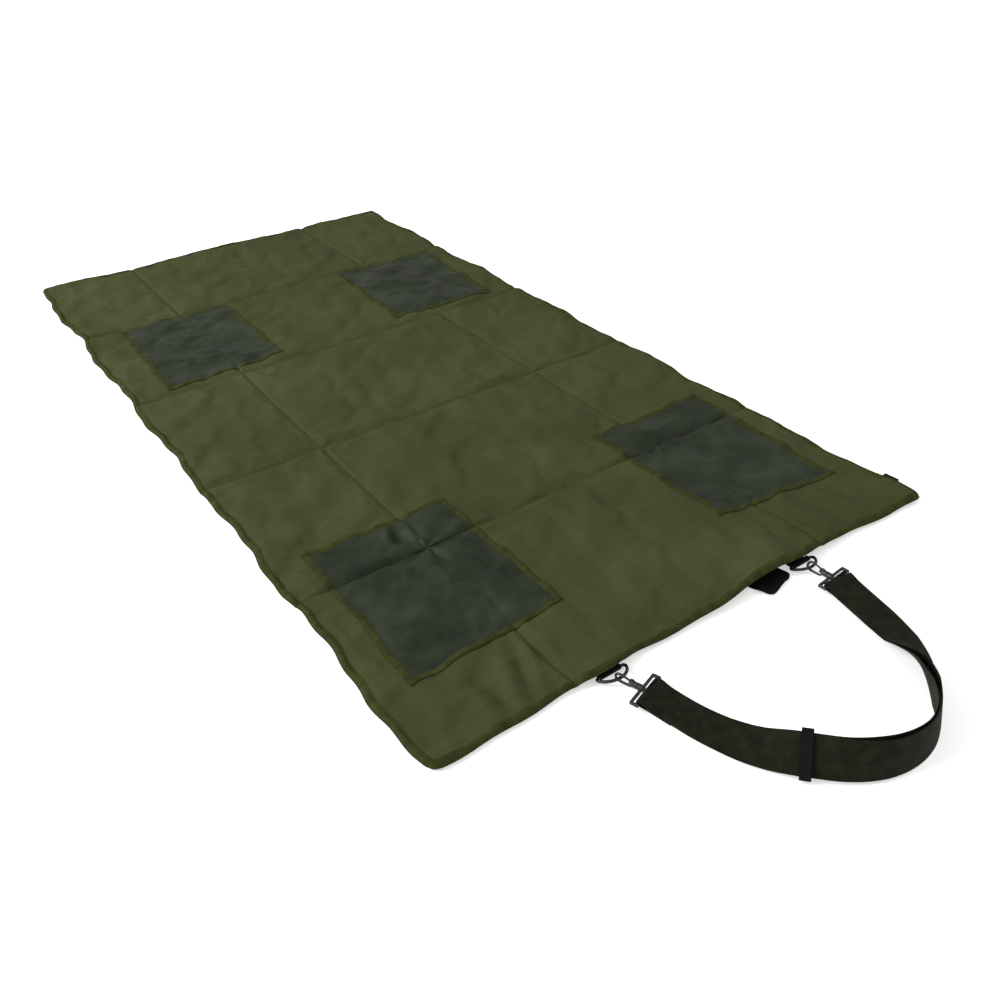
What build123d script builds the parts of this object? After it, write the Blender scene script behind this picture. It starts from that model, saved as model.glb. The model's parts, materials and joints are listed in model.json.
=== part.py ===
from build123d import *

import math
import os

# Overall sizes, in millimetres
mat_width = 900.0
mat_length = 1750.0
row_count = 5
side_width = 218.0  # width of each side panel, crease to edge
crease_gap = 3.0  # stitched channel between two pads
pad_thickness = 9.0
cloth = 0.8  # top cloth, bottom cloth and edge wall

# Rubbery patches
patch_thickness = 0.8
patch_clearance = 0.3  # between two patches when a side is folded in
near_patch = (245.0, 320.0)
far_patch = (243.0, 307.0)
near_patch_margin = 52.0  # from the side edge of the mat
far_patch_margin = 72.0
near_patch_start = 118.0  # from the strap end of the mat
far_patch_start = 1055.0

# Folding
stack_gap = 0.6  # between two folded layers

# Rings, hooks and the frames that hold the strap
web_width = 50.0
web_thickness = 2.0
ring_wire = 4.4
ring_width = 50.0  # outside
ring_depth = 20.5  # bar to apex, centre to centre
ring_x = 181.0
ring_room = 0.2  # between the tab's loop and the mat's edge
ring_lift = 0.5  # tab's loop above the floor
hook_height = 10.0  # middle of the ring's apex, hook and frame above the floor
tab_thickness = 1.2
tab_width = 34.0
tab_length = 42.0
hook_wire = 3.4
hook_eye = 8.2  # width inside the bend, with room round the ring's wire
hook_slack = 2.9  # between the ring's wire and the inside of the bend
hook_reach = 19.0  # middle of the bend to the collar
hook_yaw = {"left": 18.0, "right": 5.0}
hook_roll = {"left": 0.0, "right": 25.0}
barrel_radius = 4.4
barrel_length = 7.0
pin_radius = 2.0
running_clearance = 0.05
boss_radius = 4.6
boss_length = 4.0
rivet_radius = 1.0
frame_bar = 3.6
frame_pitch = 9.0  # outer bar to the bar that the webbing turns round
frame_clearance = 1.2  # webbing edge to side bar

# Carrying strap between its two frames: middle of the webbing, as (x, distance out from the mat's edge,
# height, roll in degrees), flat at its ends and standing nearly on its edge round the far bend
strap_points = [
    (-156, 112, 6.0, 1),
    (-142, 158, 6.4, 7),
    (-126, 203, 12.6, 20),
    (-102, 246, 24.8, 45),
    (-68, 284, 26.6, 64),
    (-22, 310, 27.0, 76),
    (26, 316, 27.2, 80),
    (64, 303, 27.2, 80),
    (94, 278, 27.0, 78),
    (118, 250, 25.4, 64),
    (140, 221, 18.4, 36),
    (158, 188, 9.8, 12),
    (170, 148, 8.6, 2),
    (178, 106, 8.6, 0),
]
slider_at = 4  # counted from 1, the point where the slider sits
slider_bar = (2.7, 1.9)  # wall beside the webbing and over it
slider_clearance = (2.8, 2.8)
slider_length = 13.0
doubled = (4, 15)  # from the slider to the right frame the webbing lies double

# Closing tab under the strap end, and the blank label
closing_tab = (62.0, 95.0)
closing_tab_thickness = 1.4
closing_tab_skew = 14.0
closing_tab_out = 22.0  # how far its corner shows past the mat's edge
closing_tab_x = 112.0
closing_hinge_out = 2.5  # where it bends up round the edge
recess_clearance = 0.4
label_size = (25.0, 9.0)
label_from_end = 35.0

# Values worked out from those above
row_length = mat_length / row_count
centre_width = mat_width - 2 * side_width
side_crease = centre_width / 2
near_edge = -mat_length / 2
flap_axis_height = pad_thickness + patch_thickness + patch_clearance
folded_height = 2 * flap_axis_height
valley_axis_height = folded_height + stack_gap / 2
tab_loop = ring_wire / 2 + 0.3 + tab_thickness  # outside radius of the tab's loop round the ring's bar
ring_height = tab_loop + ring_lift
ring_y = near_edge - tab_loop - ring_room
hook_bend = (max(hook_eye, ring_wire + 3.6) + hook_wire) / 2  # radius of the middle of the hook's wire
ring_tilt = math.degrees(math.asin((hook_height - ring_height) / ring_depth))
apex_y = ring_y - ring_depth * math.cos(math.radians(ring_tilt))
tab_recess = ring_height - ring_wire / 2 - 0.3
closing_recess = closing_tab_thickness + recess_clearance
bend_to_wire = hook_bend - hook_wire / 2 - ring_wire / 2 - hook_slack
collar_at = frame_bar / 2 + boss_length + 0.2 + barrel_length
bend_at = collar_at + hook_reach
frame_to_apex = bend_at + bend_to_wire
columns = {
    "left": (-mat_width / 2, -side_crease),
    "centre": (-side_crease, side_crease),
    "right": (side_crease, mat_width / 2),
}

os.makedirs("parts", exist_ok=True)


def save(name, *solids):
    """Write one node as a single solid or as a group of separate solids."""
    shape = solids[0] if len(solids) == 1 else Compound(children=list(solids))
    shape.label = name
    export_step(shape, f"parts/{name}.step")


def block(x_range, y_range, z_range):
    """Box between three pairs of limits."""
    low = [min(r) for r in (x_range, y_range, z_range)]
    size = [abs(r[1] - r[0]) for r in (x_range, y_range, z_range)]
    return Pos(*low) * Box(*size, align=(Align.MIN, Align.MIN, Align.MIN))


def row_limits(row):
    """Start and end of a row, half a crease short on the sides that have a neighbour."""
    start = near_edge + (row - 1) * row_length
    end = start + row_length
    return (
        start + (crease_gap / 2 if row > 1 else 0),
        end - (crease_gap / 2 if row < row_count else 0),
    )


def column_limits(column):
    """Left and right of a column, half a crease short beside a neighbour."""
    left, right = columns[column]
    return (
        left + (crease_gap / 2 if column != "left" else 0),
        right - (crease_gap / 2 if column != "right" else 0),
    )


def tab_tool(x, margin):
    """Limits across and along of a ring's webbing tab under the strap end, with a margin round it."""
    half = tab_width / 2 + margin
    return (x - half, x + half), (near_edge - 1, near_edge + tab_length + margin)


def closing_shape(x, thickness, margin):
    """Closing tab with two rounded corners, lying askew under the strap end."""
    width, length = (size + 2 * margin for size in closing_tab)
    flat = Rectangle(width, length)
    flat = fillet(flat.vertices().sort_by(Axis.Y)[:2], radius=9)
    turned = Rot(0, 0, closing_tab_skew) * extrude(flat, thickness)
    middle = near_edge - closing_tab_out + closing_tab[1] / 2
    return Pos(x, middle, 0) * turned


# ---------------------------------------------------------------- pads
def pad(row, column):
    """Foam core and its cover: bottom cloth, top cloth and the edge wall between them."""
    x0, x1 = column_limits(column)
    y0, y1 = row_limits(row)
    bottom = block((x0, x1), (y0, y1), (0, cloth))
    top = block((x0, x1), (y0, y1), (pad_thickness - cloth, pad_thickness))
    core_z = (cloth, pad_thickness - cloth)
    core = block((x0 + cloth, x1 - cloth), (y0 + cloth, y1 - cloth), core_z)
    wall = block((x0, x1), (y0, y1), core_z) - core
    if row == 1 and column == "centre":
        for x in (-ring_x, ring_x):
            across, along = tab_tool(x, recess_clearance)
            room = block(across, along, (-1, tab_recess))
            core, bottom, wall = core - room, bottom - room, wall - room
        room = Pos(0, 0, -1) * closing_shape(closing_tab_x, closing_recess + 1, recess_clearance)
        core, bottom, wall = core - room, bottom - room, wall - room
    return core, (bottom, top, wall)


for row in range(1, row_count + 1):
    for column in columns:
        core, cover = pad(row, column)
        save(f"foam_{row}_{column}", core)
        save(f"cover_{row}_{column}", *cover)


# ---------------------------------------------------------------- patches
def patch_pieces(name, side, size, margin, start):
    """Stretches of one patch, cut where it crosses the creases."""
    outer = side * (mat_width / 2 - margin)
    across = sorted((outer, outer - side * size[0]))
    along = (near_edge + start, near_edge + start + size[1])
    for row in range(1, row_count + 1):
        y0, y1 = row_limits(row)
        low, high = max(y0, along[0]), min(y1, along[1])
        for column in columns:
            x0, x1 = column_limits(column)
            left, right = max(x0, across[0]), min(x1, across[1])
            if high - low > crease_gap and right - left > crease_gap:
                place = "flap" if column != "centre" else "middle"
                piece = block((left, right), (low, high), (pad_thickness, pad_thickness + patch_thickness))
                save(f"{name}_{row}_{place}", piece)


for side, hand in ((-1, "left"), (1, "right")):
    patch_pieces(f"elbow_patch_{hand}", side, near_patch, near_patch_margin, near_patch_start)
    patch_pieces(f"knee_patch_{hand}", side, far_patch, far_patch_margin, far_patch_start)


# ---------------------------------------------------------------- D-rings and their tabs
def d_ring(x):
    """Round wire bent to a D and closed by its straight bar."""
    half = (ring_width - ring_wire) / 2
    shoulder = 0.25 * ring_depth
    straight = Polyline((half, -shoulder), (half, 0), (-half, 0), (-half, -shoulder))
    bow = ThreePointArc((half, -shoulder), (0, -ring_depth), (-half, -shoulder))
    face = make_face([straight, bow])
    face = fillet(face.vertices().group_by(Axis.Y)[-1], radius=3.6)
    face = fillet(shoulder_corners(face, half, shoulder), radius=6)
    path = face.faces()[0].outer_wire()
    start = path.position_at(0)
    section = Plane(origin=start, z_dir=path.tangent_at(0)) * Circle(ring_wire / 2)
    return Pos(x, ring_y, ring_height) * Rot(-ring_tilt, 0, 0) * sweep(section, path=path)


def shoulder_corners(face, half, shoulder):
    """The two corners where the sides of the D start to turn in."""
    return [v for v in face.vertices() if abs(abs(v.X) - half) < 0.01 and abs(v.Y + shoulder) < 0.01]


def ring_tab(x):
    """Webbing folded round the ring's bar, its two ends sewn under the mat."""
    inner = ring_wire / 2 + 0.3
    outer = inner + tab_thickness
    bar = Pos(x, ring_y, ring_height) * Rot(0, 90, 0)
    loop = bar * (Cylinder(outer, tab_width) - Cylinder(inner, tab_width + 1))
    across, along = tab_tool(x, 0)
    lower = block(across, (ring_y, along[1]), (ring_height - outer, ring_height - inner))
    keep = block(across, (ring_y - outer, along[1]), (0, ring_height + outer))
    return (loop + lower) & keep


for side, hand in ((-1, "left"), (1, "right")):
    save(f"d_ring_{hand}", d_ring(side * ring_x))
    save(f"ring_tab_{hand}", ring_tab(side * ring_x))


# ---------------------------------------------------------------- snap hooks and their frames
def hook_place(hand, roll):
    """Place of a hook's frame: its own Y runs from the outer bar to the ring, its own X along the bar."""
    side = -1 if hand == "left" else 1
    yaw = math.radians(hook_yaw[hand])
    x = side * ring_x + frame_to_apex * math.sin(yaw)
    y = apex_y - frame_to_apex * math.cos(yaw)
    return Pos(x, y, hook_height) * Rot(0, 0, hook_yaw[hand]) * Rot(0, roll, 0)


def along_y(radius, start, end):
    """Cylinder on the hook's own axis between two places along it."""
    return Pos(0, (start + end) / 2, 0) * Rot(90, 0, 0) * Cylinder(radius, end - start)


gate_pivot = (collar_at + 2.8, 2.8)
nose_at = bend_at - 3.6  # end of the bent wire, before its round tip
gate_tip = (nose_at - hook_wire / 2 - 0.6, 5.2)
gate_eye = 2.1
gate_half = 1.0
ear_half = 2.7


def snap_hook():
    """Cast hook in its own Y-Z plane: headed swivel pin, collar, shank, bend, nose and gate ears."""
    base = frame_bar / 2 + boss_length + 0.2
    pin = along_y(pin_radius, -frame_bar / 2 - 0.2, base)
    head = along_y(pin_radius + 1.1, -frame_bar / 2 - 1.6, -frame_bar / 2 - 0.2)
    collar = along_y(barrel_radius, base, collar_at)
    collar = fillet(collar.edges().filter_by(GeomType.CIRCLE), radius=0.8)
    route = FilletPolyline(
        (0, collar_at - 2, -1.6),
        (0, collar_at + 3.5, -hook_bend),
        (0, bend_at, -hook_bend),
        radius=4,
    )
    turn = ThreePointArc((0, bend_at, -hook_bend), (0, bend_at + hook_bend, 0), (0, bend_at, hook_bend))
    nose = Line((0, bend_at, hook_bend), (0, nose_at, hook_bend))
    path = Wire(route.edges() + turn.edges() + nose.edges())
    section = Plane(origin=path.position_at(0), z_dir=path.tangent_at(0)) * Circle(hook_wire / 2)
    wire = sweep(section, path=path)
    tip = Pos(0, nose_at, hook_bend) * Sphere(hook_wire / 2)
    pivot_y, pivot_z = gate_pivot
    ears = block((-ear_half, ear_half), (collar_at - 1, pivot_y + 2.2), (-1.5, pivot_z + 2.2))
    ears = fillet(ears.edges().filter_by(Axis.X).group_by(Axis.Z)[-1], radius=1.8)
    slot_half = gate_half + 0.3
    slot = block((-slot_half, slot_half), (collar_at + 0.2, pivot_y + 9), (pivot_z - gate_eye - 0.4, 20))
    hole = Pos(0, pivot_y, pivot_z) * Rot(0, 90, 0) * Cylinder(rivet_radius, 20)
    return pin + head + collar + wire + tip + (ears - slot) - hole - slot


def gate():
    """Flat spring gate with the eye that turns on its rivet."""
    (y0, z0), (y1, z1) = gate_pivot, gate_tip
    angle = math.degrees(math.atan2(z1 - z0, y1 - y0))
    length = math.hypot(z1 - z0, y1 - y0)
    bar = Pos(0, length / 2, 0) * Box(2 * gate_half, length, 2.2)
    eye = Rot(0, 90, 0) * Cylinder(gate_eye, 2 * gate_half)
    hole = Rot(0, 90, 0) * Cylinder(rivet_radius + running_clearance, 10)
    return Pos(0, y0, z0) * Rot(angle, 0, 0) * (bar + eye - hole)


def gate_rivet():
    """Rivet pressed through the ears."""
    return Pos(0, *gate_pivot) * Rot(0, 90, 0) * Cylinder(rivet_radius, 2 * ear_half)


def hook_frame():
    """Rectangular frame for the webbing, with the boss that the hook swivels in."""
    inside = web_width + 2 * frame_clearance
    outside = inside + 2 * frame_bar
    outline = Pos(0, -frame_pitch / 2, 0) * RectangleRounded(outside, frame_pitch + frame_bar, 1.6)
    window = Pos(0, -frame_pitch / 2, 0) * Rectangle(inside, frame_pitch - frame_bar)
    plate = Pos(0, 0, -frame_bar / 2) * extrude(outline - window, frame_bar)
    plate = chamfer(plate.edges().filter_by(GeomType.LINE).group_by(Axis.Z)[-1], length=0.5)
    boss = along_y(boss_radius, -frame_bar / 2, frame_bar / 2 + boss_length)
    bore = along_y(pin_radius + running_clearance, -20, 20)
    return plate + boss - bore


for hand in ("left", "right"):
    place = hook_place(hand, hook_roll[hand])
    save(f"snap_hook_{hand}", place * snap_hook())
    save(f"gate_{hand}", place * gate())
    save(f"gate_rivet_{hand}", place * gate_rivet())
    save(f"hook_frame_{hand}", hook_place(hand, 0) * hook_frame())


# ---------------------------------------------------------------- carrying strap
loop_inner = frame_bar * math.sqrt(0.5) + 0.1


def bar_place(hand):
    """Place on the inner bar of a frame, with Z along the bar."""
    return hook_place(hand, 0) * Pos(0, -frame_pitch, 0) * Rot(0, 90, 0)


def strap_end(hand):
    """Middle of the bar that the webbing turns round."""
    return bar_place(hand).position


def webbing_loop(hand):
    """Webbing turned round the inner bar of a frame."""
    ring = Cylinder(loop_inner + web_thickness, web_width) - Cylinder(loop_inner, web_width + 1)
    return bar_place(hand) * ring


route = [strap_end("left")]
route += [Vector(x, near_edge - out, height) for x, out, height, roll in strap_points]
route += [strap_end("right")]
rolls = [0] + [point[3] for point in strap_points] + [0]
steps = 3  # sections from one point of the route to the next


def route_frame(position):
    """Place on the route at a position counted in points, with Z along the webbing and X across it."""
    line = Spline(*route)
    lengths = [line.param_at_point(point) for point in route]
    index = min(int(position), len(route) - 2)
    part = position - index
    at = lengths[index] + part * (lengths[index + 1] - lengths[index])
    roll = rolls[index] + part * (rolls[index + 1] - rolls[index])
    along = line.tangent_at(at)
    across = along.cross(Vector(0, 0, 1)).normalized()
    plane = Plane(origin=line.position_at(at), x_dir=across, z_dir=along)
    return plane, roll


def webbing():
    """Ribbon through all the sections of the route."""
    loop_gap = 3.6 / line_step()
    last = len(route) - 1
    places = [loop_gap] + [i / steps for i in range(1, last * steps)] + [last - loop_gap]
    sections = []
    for position in places:
        plane, roll = route_frame(position)
        thick = web_thickness
        if doubled[0] < position < doubled[1]:
            thick = 2 * web_thickness
        sections.append(plane * Rot(0, 0, roll) * Rectangle(web_width, thick))
    return loft(sections, ruled=True)


def line_step():
    """Distance between the first two points of the route."""
    return (route[1] - route[0]).length


strap = webbing() + webbing_loop("left") + webbing_loop("right")
for hand in ("left", "right"):
    strap -= bar_place(hand) * Cylinder(loop_inner, 2 * web_width)
save("shoulder_strap", strap)
flat_length = Spline(*route).length
print(f"strap: {flat_length:.1f} mm, {strap.volume:.0f} mm3, {strap.is_valid}")

slider_plane, slider_roll = route_frame(slider_at)
slot_width = web_width + slider_clearance[0]
slot_height = 2 * web_thickness + slider_clearance[1]
slider = Box(slot_width + 2 * slider_bar[0], slot_height + 2 * slider_bar[1], slider_length)
slider -= Box(slot_width, slot_height, 2 * slider_length)
slider = fillet(slider.edges().filter_by(Axis.Z).group_by(SortBy.DISTANCE)[-1], radius=1.5)
save("strap_slider", slider_plane * Rot(0, 0, slider_roll) * slider)


# ---------------------------------------------------------------- closing tab and label
whole_tab = Pos(0, 0, 0.1) * closing_shape(closing_tab_x, closing_tab_thickness, 0)
fold_y = near_edge - closing_hinge_out
fold_room = closing_tab_thickness / 2 + 0.3  # the end stands up in this gap when it is bent
far_side = block((-mat_width, mat_width), (fold_y + fold_room, 0), (-1, 20))
save("closing_tab_base", whole_tab & far_side)
save("closing_tab_end", whole_tab & (Pos(0, fold_y - 0.3 - mat_length / 2, 0) * Box(mat_width, mat_length, 50)))

label_y = near_edge + label_from_end
label = block((mat_width / 2, mat_width / 2 + label_size[1]), (label_y, label_y + label_size[0]), (5.0, 5.8))
save("label_tab", label)
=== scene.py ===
import json
import math
import bmesh
import bpy
import numpy as np
from mathutils import Matrix, Vector


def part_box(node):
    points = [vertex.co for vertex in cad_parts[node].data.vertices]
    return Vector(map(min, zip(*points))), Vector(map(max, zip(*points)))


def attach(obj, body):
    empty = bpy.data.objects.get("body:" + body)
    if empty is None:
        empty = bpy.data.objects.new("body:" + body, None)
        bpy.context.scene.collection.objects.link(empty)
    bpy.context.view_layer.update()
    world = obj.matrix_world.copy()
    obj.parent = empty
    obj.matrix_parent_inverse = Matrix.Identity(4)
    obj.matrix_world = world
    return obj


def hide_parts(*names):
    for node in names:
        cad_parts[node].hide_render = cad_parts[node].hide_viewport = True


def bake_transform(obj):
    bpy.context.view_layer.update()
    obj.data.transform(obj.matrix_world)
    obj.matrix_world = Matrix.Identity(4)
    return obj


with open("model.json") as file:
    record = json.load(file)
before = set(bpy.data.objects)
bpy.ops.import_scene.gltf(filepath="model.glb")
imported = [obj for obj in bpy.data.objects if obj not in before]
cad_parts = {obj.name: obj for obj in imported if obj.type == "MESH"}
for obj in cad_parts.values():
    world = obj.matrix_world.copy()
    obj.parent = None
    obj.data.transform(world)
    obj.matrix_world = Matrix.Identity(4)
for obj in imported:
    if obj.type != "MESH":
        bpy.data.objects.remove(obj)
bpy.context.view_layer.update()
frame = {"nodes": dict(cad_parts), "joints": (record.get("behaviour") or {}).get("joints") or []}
nodes = frame["nodes"]
joints = {j["name"]: j for j in frame["joints"]}
print("frame loaded", len(nodes), "nodes")

# the mat as one surface, in metres: every pad, patch and strip of cloth takes its place from here
mat = {
    "halfWidth": 0.450,
    "halfLength": 0.875,
    "sideCrease": 0.232,
    "rows": 5,
    "thickness": 0.0092,
    "crown": 0.0016,  # how much a pad swells in its middle
    "grooveDepth": 0.0054,
    "grooveWidth": 0.0085,
    "edgeRound": 0.0042,  # rounded bound edge
    "hemIn": 0.0096,  # width of the binding tape round the edge
    "cornerRound": 0.013,
    "step": 0.0048,  # grid spacing over a pad
    "seamGap": 0.00015,  # half the gap between two pads, or two stretches of a patch
    "tabX": 0.181,  # how far the ring tabs stand from the middle
}
rowLength = 2 * mat["halfLength"] / mat["rows"]
columns = {
    "left": (-mat["halfWidth"], -mat["sideCrease"]),
    "centre": (-mat["sideCrease"], mat["sideCrease"]),
    "right": (mat["sideCrease"], mat["halfWidth"]),
}
rowLines = [-mat["halfLength"] + i * rowLength for i in range(mat["rows"] + 1)]
columnLines = [-mat["sideCrease"], mat["sideCrease"]]


def bump(value, middle, width):
    # bell curve: e to the minus square of the distance over the width
    return np.exp(-(((value - middle) / width) ** 2))


def soften(value):
    # smooth step: 3 v squared minus 2 v cubed, held between 0 and 1
    v = np.clip(value, 0, 1)
    return v * v * (3 - 2 * v)


def ripples(x, y, seed, waves, shortest, longest):
    # sum of sine waves with random directions and lengths, each as high as the next, scaled to about 1
    rng = np.random.default_rng(seed)
    total = np.zeros_like(x)
    for _ in range(waves):
        turn, phase = rng.uniform(0, 2 * np.pi, 2)
        length = rng.uniform(shortest, longest)
        total += np.sin((x * np.cos(turn) + y * np.sin(turn)) * 2 * np.pi / length + phase)
    return total / np.sqrt(waves)


puckers = [  # x, y, height, size: drawn-in cloth at the places where creases cross
    (-0.232, -0.525, 0.0040, 0.075),
    (0.232, -0.525, 0.0030, 0.065),
    (-0.232, -0.175, 0.0022, 0.055),
    (0.232, -0.175, 0.0022, 0.055),
    (-0.232, 0.175, 0.0020, 0.050),
    (0.232, 0.175, 0.0024, 0.055),
    (-0.232, 0.525, 0.0022, 0.055),
    (0.232, 0.525, 0.0022, 0.055),
]


folds = [  # soft folds of the top cloth: start x, y, end x, y, height, half width
    (-0.249, -0.764, -0.285, -0.861, -0.0038, 0.0085),
    (-0.280, -0.771, -0.304, -0.846, 0.0040, 0.0110),
    (-0.239, -0.772, -0.265, -0.857, 0.0036, 0.0090),
    (-0.235, -0.765, -0.228, -0.850, -0.0030, 0.0060),
    (-0.337, -0.786, -0.311, -0.814, -0.0030, 0.0100),
    (-0.311, -0.814, -0.327, -0.862, -0.0032, 0.0090),
    (-0.345, -0.806, -0.350, -0.858, 0.0026, 0.0150),
    (-0.427, -0.452, -0.403, -0.494, 0.0030, 0.0085),
    (-0.436, -0.519, -0.404, -0.523, 0.0024, 0.0075),
    (-0.437, -0.670, -0.415, -0.684, 0.0030, 0.0080),
    (-0.415, -0.684, -0.419, -0.715, 0.0028, 0.0085),
    (-0.440, -0.600, -0.416, -0.612, -0.0022, 0.0100),
    (-0.438, -0.770, -0.418, -0.800, 0.0024, 0.0120),
    (-0.262, -0.452, -0.279, -0.491, 0.0050, 0.0068),
    (-0.279, -0.491, -0.254, -0.518, 0.0042, 0.0068),
    (-0.251, -0.452, -0.262, -0.497, -0.0050, 0.0068),
    (-0.237, -0.452, -0.239, -0.508, 0.0046, 0.0066),
    (-0.222, -0.455, -0.234, -0.512, -0.0028, 0.0070),
    (-0.200, -0.470, -0.226, -0.512, 0.0024, 0.0075),
    (-0.165, -0.560, -0.216, -0.532, 0.0024, 0.0080),
    (-0.180, -0.610, -0.222, -0.545, 0.0018, 0.0090),
    (0.215, -0.765, 0.250, -0.858, 0.0030, 0.0110),
    (0.330, -0.775, 0.352, -0.862, 0.0032, 0.0120),
    (0.300, -0.790, 0.310, -0.862, -0.0028, 0.0120),
    (0.060, -0.800, 0.100, -0.868, 0.0024, 0.0180),
    (-0.060, -0.820, -0.020, -0.868, 0.0020, 0.0180),
    (0.236, -0.470, 0.262, -0.512, 0.0034, 0.0080),
    (0.205, -0.565, 0.226, -0.534, 0.0026, 0.0080),
    (-0.418, 0.245, -0.398, 0.225, 0.0030, 0.0080),
    (-0.428, -0.120, -0.402, -0.140, 0.0026, 0.0090),
    (-0.425, 0.060, -0.398, 0.050, 0.0024, 0.0090),
    (-0.424, 0.420, -0.400, 0.410, 0.0026, 0.0090),
    (-0.200, 0.640, 0.120, 0.690, 0.0022, 0.0160),
    (-0.180, 0.760, 0.160, 0.800, -0.0026, 0.0120),
    (-0.160, 0.842, 0.140, 0.850, 0.0024, 0.0090),
    (0.150, 0.660, 0.230, 0.560, 0.0024, 0.0120),
    (-0.300, 0.560, -0.246, 0.530, 0.0028, 0.0080),
    (-0.215, 0.560, -0.150, 0.600, 0.0022, 0.0100),
    (0.000, -0.140, 0.180, -0.165, 0.0016, 0.0100),
    (-0.100, -0.490, 0.120, -0.505, 0.0018, 0.0110),
    (0.250, 0.240, 0.330, 0.330, 0.0026, 0.0110),
    (0.210, 0.420, 0.280, 0.330, 0.0024, 0.0100),
    (-0.260, 0.250, -0.200, 0.420, 0.0018, 0.0120),
]


def foldHeight(x, y):
    # each fold: bell curve of the distance from its line, fading towards both ends
    out = np.zeros_like(x)
    for x0, y0, x1, y1, high, half in folds:
        ex, ey = x1 - x0, y1 - y0
        part = ((x - x0) * ex + (y - y0) * ey) / (ex * ex + ey * ey)
        near = np.clip(part, 0, 1)
        away = np.hypot(x - x0 - near * ex, y - y0 - near * ey)
        out += 1.35 * high * np.exp(-((away / half) ** 2)) * (0.35 + 0.65 * np.sin(np.pi * near))
    return out


def creaseDistances(x, y):
    # distance to the nearest lengthwise crease and to the nearest crosswise one
    dx = np.min([np.abs(x - c) for c in columnLines], axis=0)
    dy = np.min([np.abs(y - r) for r in rowLines[1:-1]], axis=0)
    return dx, dy


gathers = {
    "alongPitch": 0.046,  # spacing of the puckers along lengthwise and crosswise creases and round the hem
    "acrossPitch": 0.052,
    "hemPitch": 0.031,
    "creaseHigh": 0.00045,
    "hemHigh": 0.0006,
    "hemPlace": 0.016,
}


def wrinkles(x, y):
    # fans of folds that run out of each crossing, plus short gathers along the creases and the hem
    out = np.zeros_like(x)
    for i, (px, py, high, size) in enumerate(puckers):
        rx, ry = x - px, y - py
        far = np.hypot(rx, ry)
        angle = np.arctan2(ry, rx)
        fan = np.sin(angle * (5 + i % 3) + 1.7 * i + 18 * far) + 0.6 * np.sin(angle * (9 - i % 4) + i)
        out += high * 0.5 * fan * np.exp(-((far / size) ** 2)) * soften(far / 0.015)
    dx, dy = creaseDistances(x, y)
    phaseY = y * 2 * np.pi / gathers["alongPitch"] + 3 * np.sin(y * 9) + 2 * x
    phaseX = x * 2 * np.pi / gathers["acrossPitch"] + 3 * np.sin(x * 7 + 1) + 3 * y
    alongY = np.sin(phaseY) * np.exp(-dx / 0.016)
    alongX = np.sin(phaseX) * np.exp(-dy / 0.014)
    out += gathers["creaseHigh"] * (alongX + alongY)
    edge = np.minimum(mat["halfWidth"] - np.abs(x), mat["halfLength"] - np.abs(y))
    around = np.where(mat["halfWidth"] - np.abs(x) < mat["halfLength"] - np.abs(y), y, x)
    gather = np.sin(around * 2 * np.pi / gathers["hemPitch"] + 2.5 * np.sin(around * 11))
    out += gathers["hemHigh"] * gather * np.exp(-np.abs(edge - gathers["hemPlace"]) / 0.014)
    return out


def groove(x, y, lengthwise=0.75):
    # how deep the sewn channels sink: a sharp dip at each crease, crosswise ones deeper
    dx, dy = creaseDistances(x, y)
    along = np.exp(-((dx / (0.75 * mat["grooveWidth"])) ** 1.3))
    across = np.exp(-((dy / mat["grooveWidth"]) ** 1.3))
    return mat["grooveDepth"] * np.maximum(lengthwise * along, across)


def padCrown(x, y):
    # each pad swells a little between its seams
    lines = [-mat["halfWidth"], *columnLines, mat["halfWidth"]]
    u = np.min([np.abs(x - c) for c in lines], axis=0)
    v = np.min([np.abs(y - r) for r in rowLines], axis=0)
    return mat["crown"] * soften(u / 0.085) * soften(v / 0.085)


def cornerPull(x, y):
    # rounds the mat's four corners: a square goes to a disc, a times root of 1 - b squared / 2
    size = mat["cornerRound"]
    a = np.clip(1 - (mat["halfWidth"] - np.abs(x)) / size, 0, 1)
    b = np.clip(1 - (mat["halfLength"] - np.abs(y)) / size, 0, 1)
    moveX = a * (np.sqrt(1 - b * b / 2) - 1) * size * np.sign(x)
    moveY = b * (np.sqrt(1 - a * a / 2) - 1) * size * np.sign(y)
    return moveX, moveY


lying = {
    "nearReach": 0.105,  # how far in from each edge its waves reach
    "farReach": 0.060,
    "sideReach": 0.050,
    "nearLift": 0.0165,  # swell of the strap end over the closing tab, then its place and half width
    "nearPlace": 0.135,
    "nearHalf": 0.115,
    "sideLift": 0.0030,
    "creaseLift": 0.0020,
    "barLift": 0.0082,  # how high the edge rides over the bar of the left ring
    "overhang": 0.0088,  # how far it hangs over both bars
    "cornerOut": 0.0045,  # drift of the near right corner to the right and nearer
    "cornerNear": 0.0090,
}


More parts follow.
